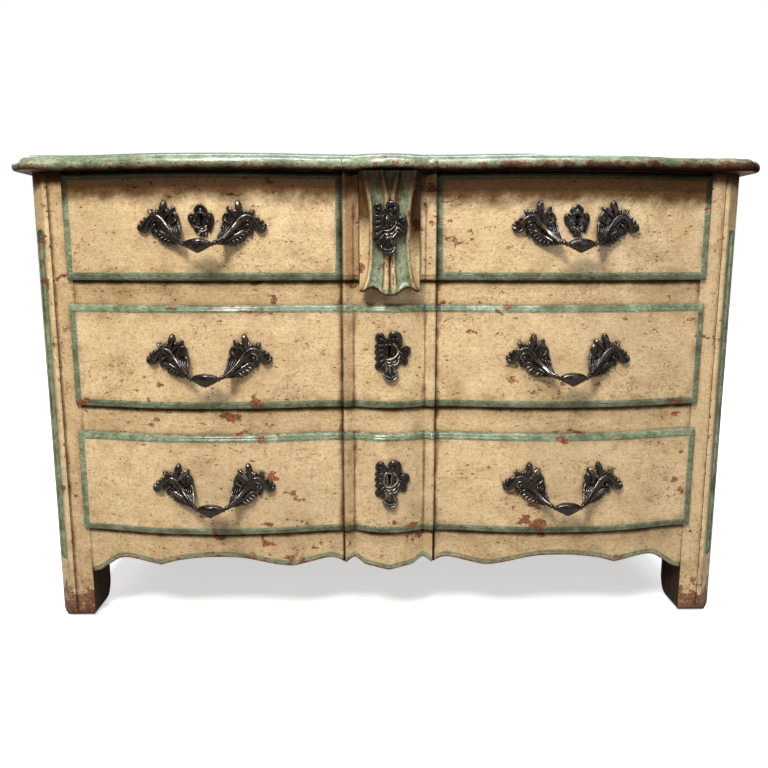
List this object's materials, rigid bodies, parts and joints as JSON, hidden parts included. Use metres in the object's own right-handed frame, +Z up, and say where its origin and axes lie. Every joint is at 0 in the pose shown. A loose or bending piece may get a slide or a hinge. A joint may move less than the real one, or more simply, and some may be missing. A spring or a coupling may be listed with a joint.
{
  "type": "commode chest",
  "caption": "Painted commode chest with a crossbow front, short drawers over long ones, cast rococo pulls and keyhole plates, a scalloped apron and canted fluted posts.",
  "frame": {"origin": "on the floor, in the middle of the width and of the overall depth with the handles", "axes": "+X to the right of someone facing the front, the front faces -Y, +Z up"},
  "size_m": [1.3, 0.669, 0.85],
  "materials": {
    "cream_paint": "aged cream-ochre paint on wood, crazed and chipped to a red-brown ground, waxed",
    "green_paint": "aged grey-green paint on wood, rubbed through at the edges to red-brown and cream",
    "old_oak": "bare old oak, planed, darkened with age",
    "dark_bronze": "cast, dark patina, rubbed bright on the high points",
    "lock_iron": "wrought iron plate, grey-brown"
  },
  "bodies": {
    "carcass": {"top_board": "green_paint", "front_right_post": "cream_paint", "front_left_post": "cream_paint", "rear_right_post": "old_oak", "rear_left_post": "old_oak", "right_side_panel": "cream_paint", "left_side_panel": "cream_paint", "back_panel": "old_oak", "top_front_rail": "cream_paint", "upper_front_rail": "cream_paint", "lower_front_rail": "cream_paint", "front_apron": "cream_paint", "centre_block": "cream_paint", "carved_tongue": "green_paint", "blind_ornament": "dark_bronze", "top_right_runner": "old_oak", "top_left_runner": "old_oak", "middle_right_runner": "old_oak", "middle_left_runner": "old_oak", "bottom_right_runner": "old_oak", "bottom_left_runner": "old_oak", "top_centre_runner": "old_oak"},
    "top_left_drawer": {"top_left_drawer_front": "cream_paint", "top_left_drawer_left_side": "old_oak", "top_left_drawer_right_side": "old_oak", "top_left_drawer_back": "old_oak", "top_left_drawer_bottom": "old_oak", "top_left_handle": "dark_bronze", "top_left_keyhole_plate": "dark_bronze", "top_left_lock_case": "lock_iron"},
    "top_right_drawer": {"top_right_drawer_front": "cream_paint", "top_right_drawer_left_side": "old_oak", "top_right_drawer_right_side": "old_oak", "top_right_drawer_back": "old_oak", "top_right_drawer_bottom": "old_oak", "top_right_handle": "dark_bronze", "top_right_keyhole_plate": "dark_bronze", "top_right_lock_case": "lock_iron"},
    "middle_drawer": {"middle_drawer_front": "cream_paint", "middle_drawer_left_side": "old_oak", "middle_drawer_right_side": "old_oak", "middle_drawer_back": "old_oak", "middle_drawer_bottom": "old_oak", "middle_left_handle": "dark_bronze", "middle_right_handle": "dark_bronze", "middle_keyhole_plate": "dark_bronze", "middle_lock_case": "lock_iron"},
    "bottom_drawer": {"bottom_drawer_front": "cream_paint", "bottom_drawer_left_side": "old_oak", "bottom_drawer_right_side": "old_oak", "bottom_drawer_back": "old_oak", "bottom_drawer_bottom": "old_oak", "bottom_left_handle": "dark_bronze", "bottom_right_handle": "dark_bronze", "bottom_keyhole_plate": "dark_bronze", "bottom_lock_case": "lock_iron"},
    "top_left_bolt": {"top_left_lock_bolt": "lock_iron"},
    "top_right_bolt": {"top_right_lock_bolt": "lock_iron"},
    "middle_bolt": {"middle_lock_bolt": "lock_iron"},
    "bottom_bolt": {"bottom_lock_bolt": "lock_iron"}
  },
  "joints": [
    {"name": "top_left_drawer_slide", "type": "slide", "parent": "carcass", "child": "top_left_drawer", "axis": [0, -1, 0], "range_m": [0, 0.39]},
    {"name": "top_right_drawer_slide", "type": "slide", "parent": "carcass", "child": "top_right_drawer", "axis": [0, -1, 0], "range_m": [0, 0.39]},
    {"name": "middle_drawer_slide", "type": "slide", "parent": "carcass", "child": "middle_drawer", "axis": [0, -1, 0], "range_m": [0, 0.39]},
    {"name": "bottom_drawer_slide", "type": "slide", "parent": "carcass", "child": "bottom_drawer", "axis": [0, -1, 0], "range_m": [0, 0.39]},
    {"name": "top_left_bolt_throw", "type": "slide", "parent": "top_left_drawer", "child": "top_left_bolt", "axis": [0, 0, 1], "range_m": [0, 0.008]},
    {"name": "top_right_bolt_throw", "type": "slide", "parent": "top_right_drawer", "child": "top_right_bolt", "axis": [0, 0, 1], "range_m": [0, 0.008]},
    {"name": "middle_bolt_throw", "type": "slide", "parent": "middle_drawer", "child": "middle_bolt", "axis": [0, 0, 1], "range_m": [0, 0.008]},
    {"name": "bottom_bolt_throw", "type": "slide", "parent": "bottom_drawer", "child": "bottom_bolt", "axis": [0, 0, 1], "range_m": [0, 0.008]}
  ]
}
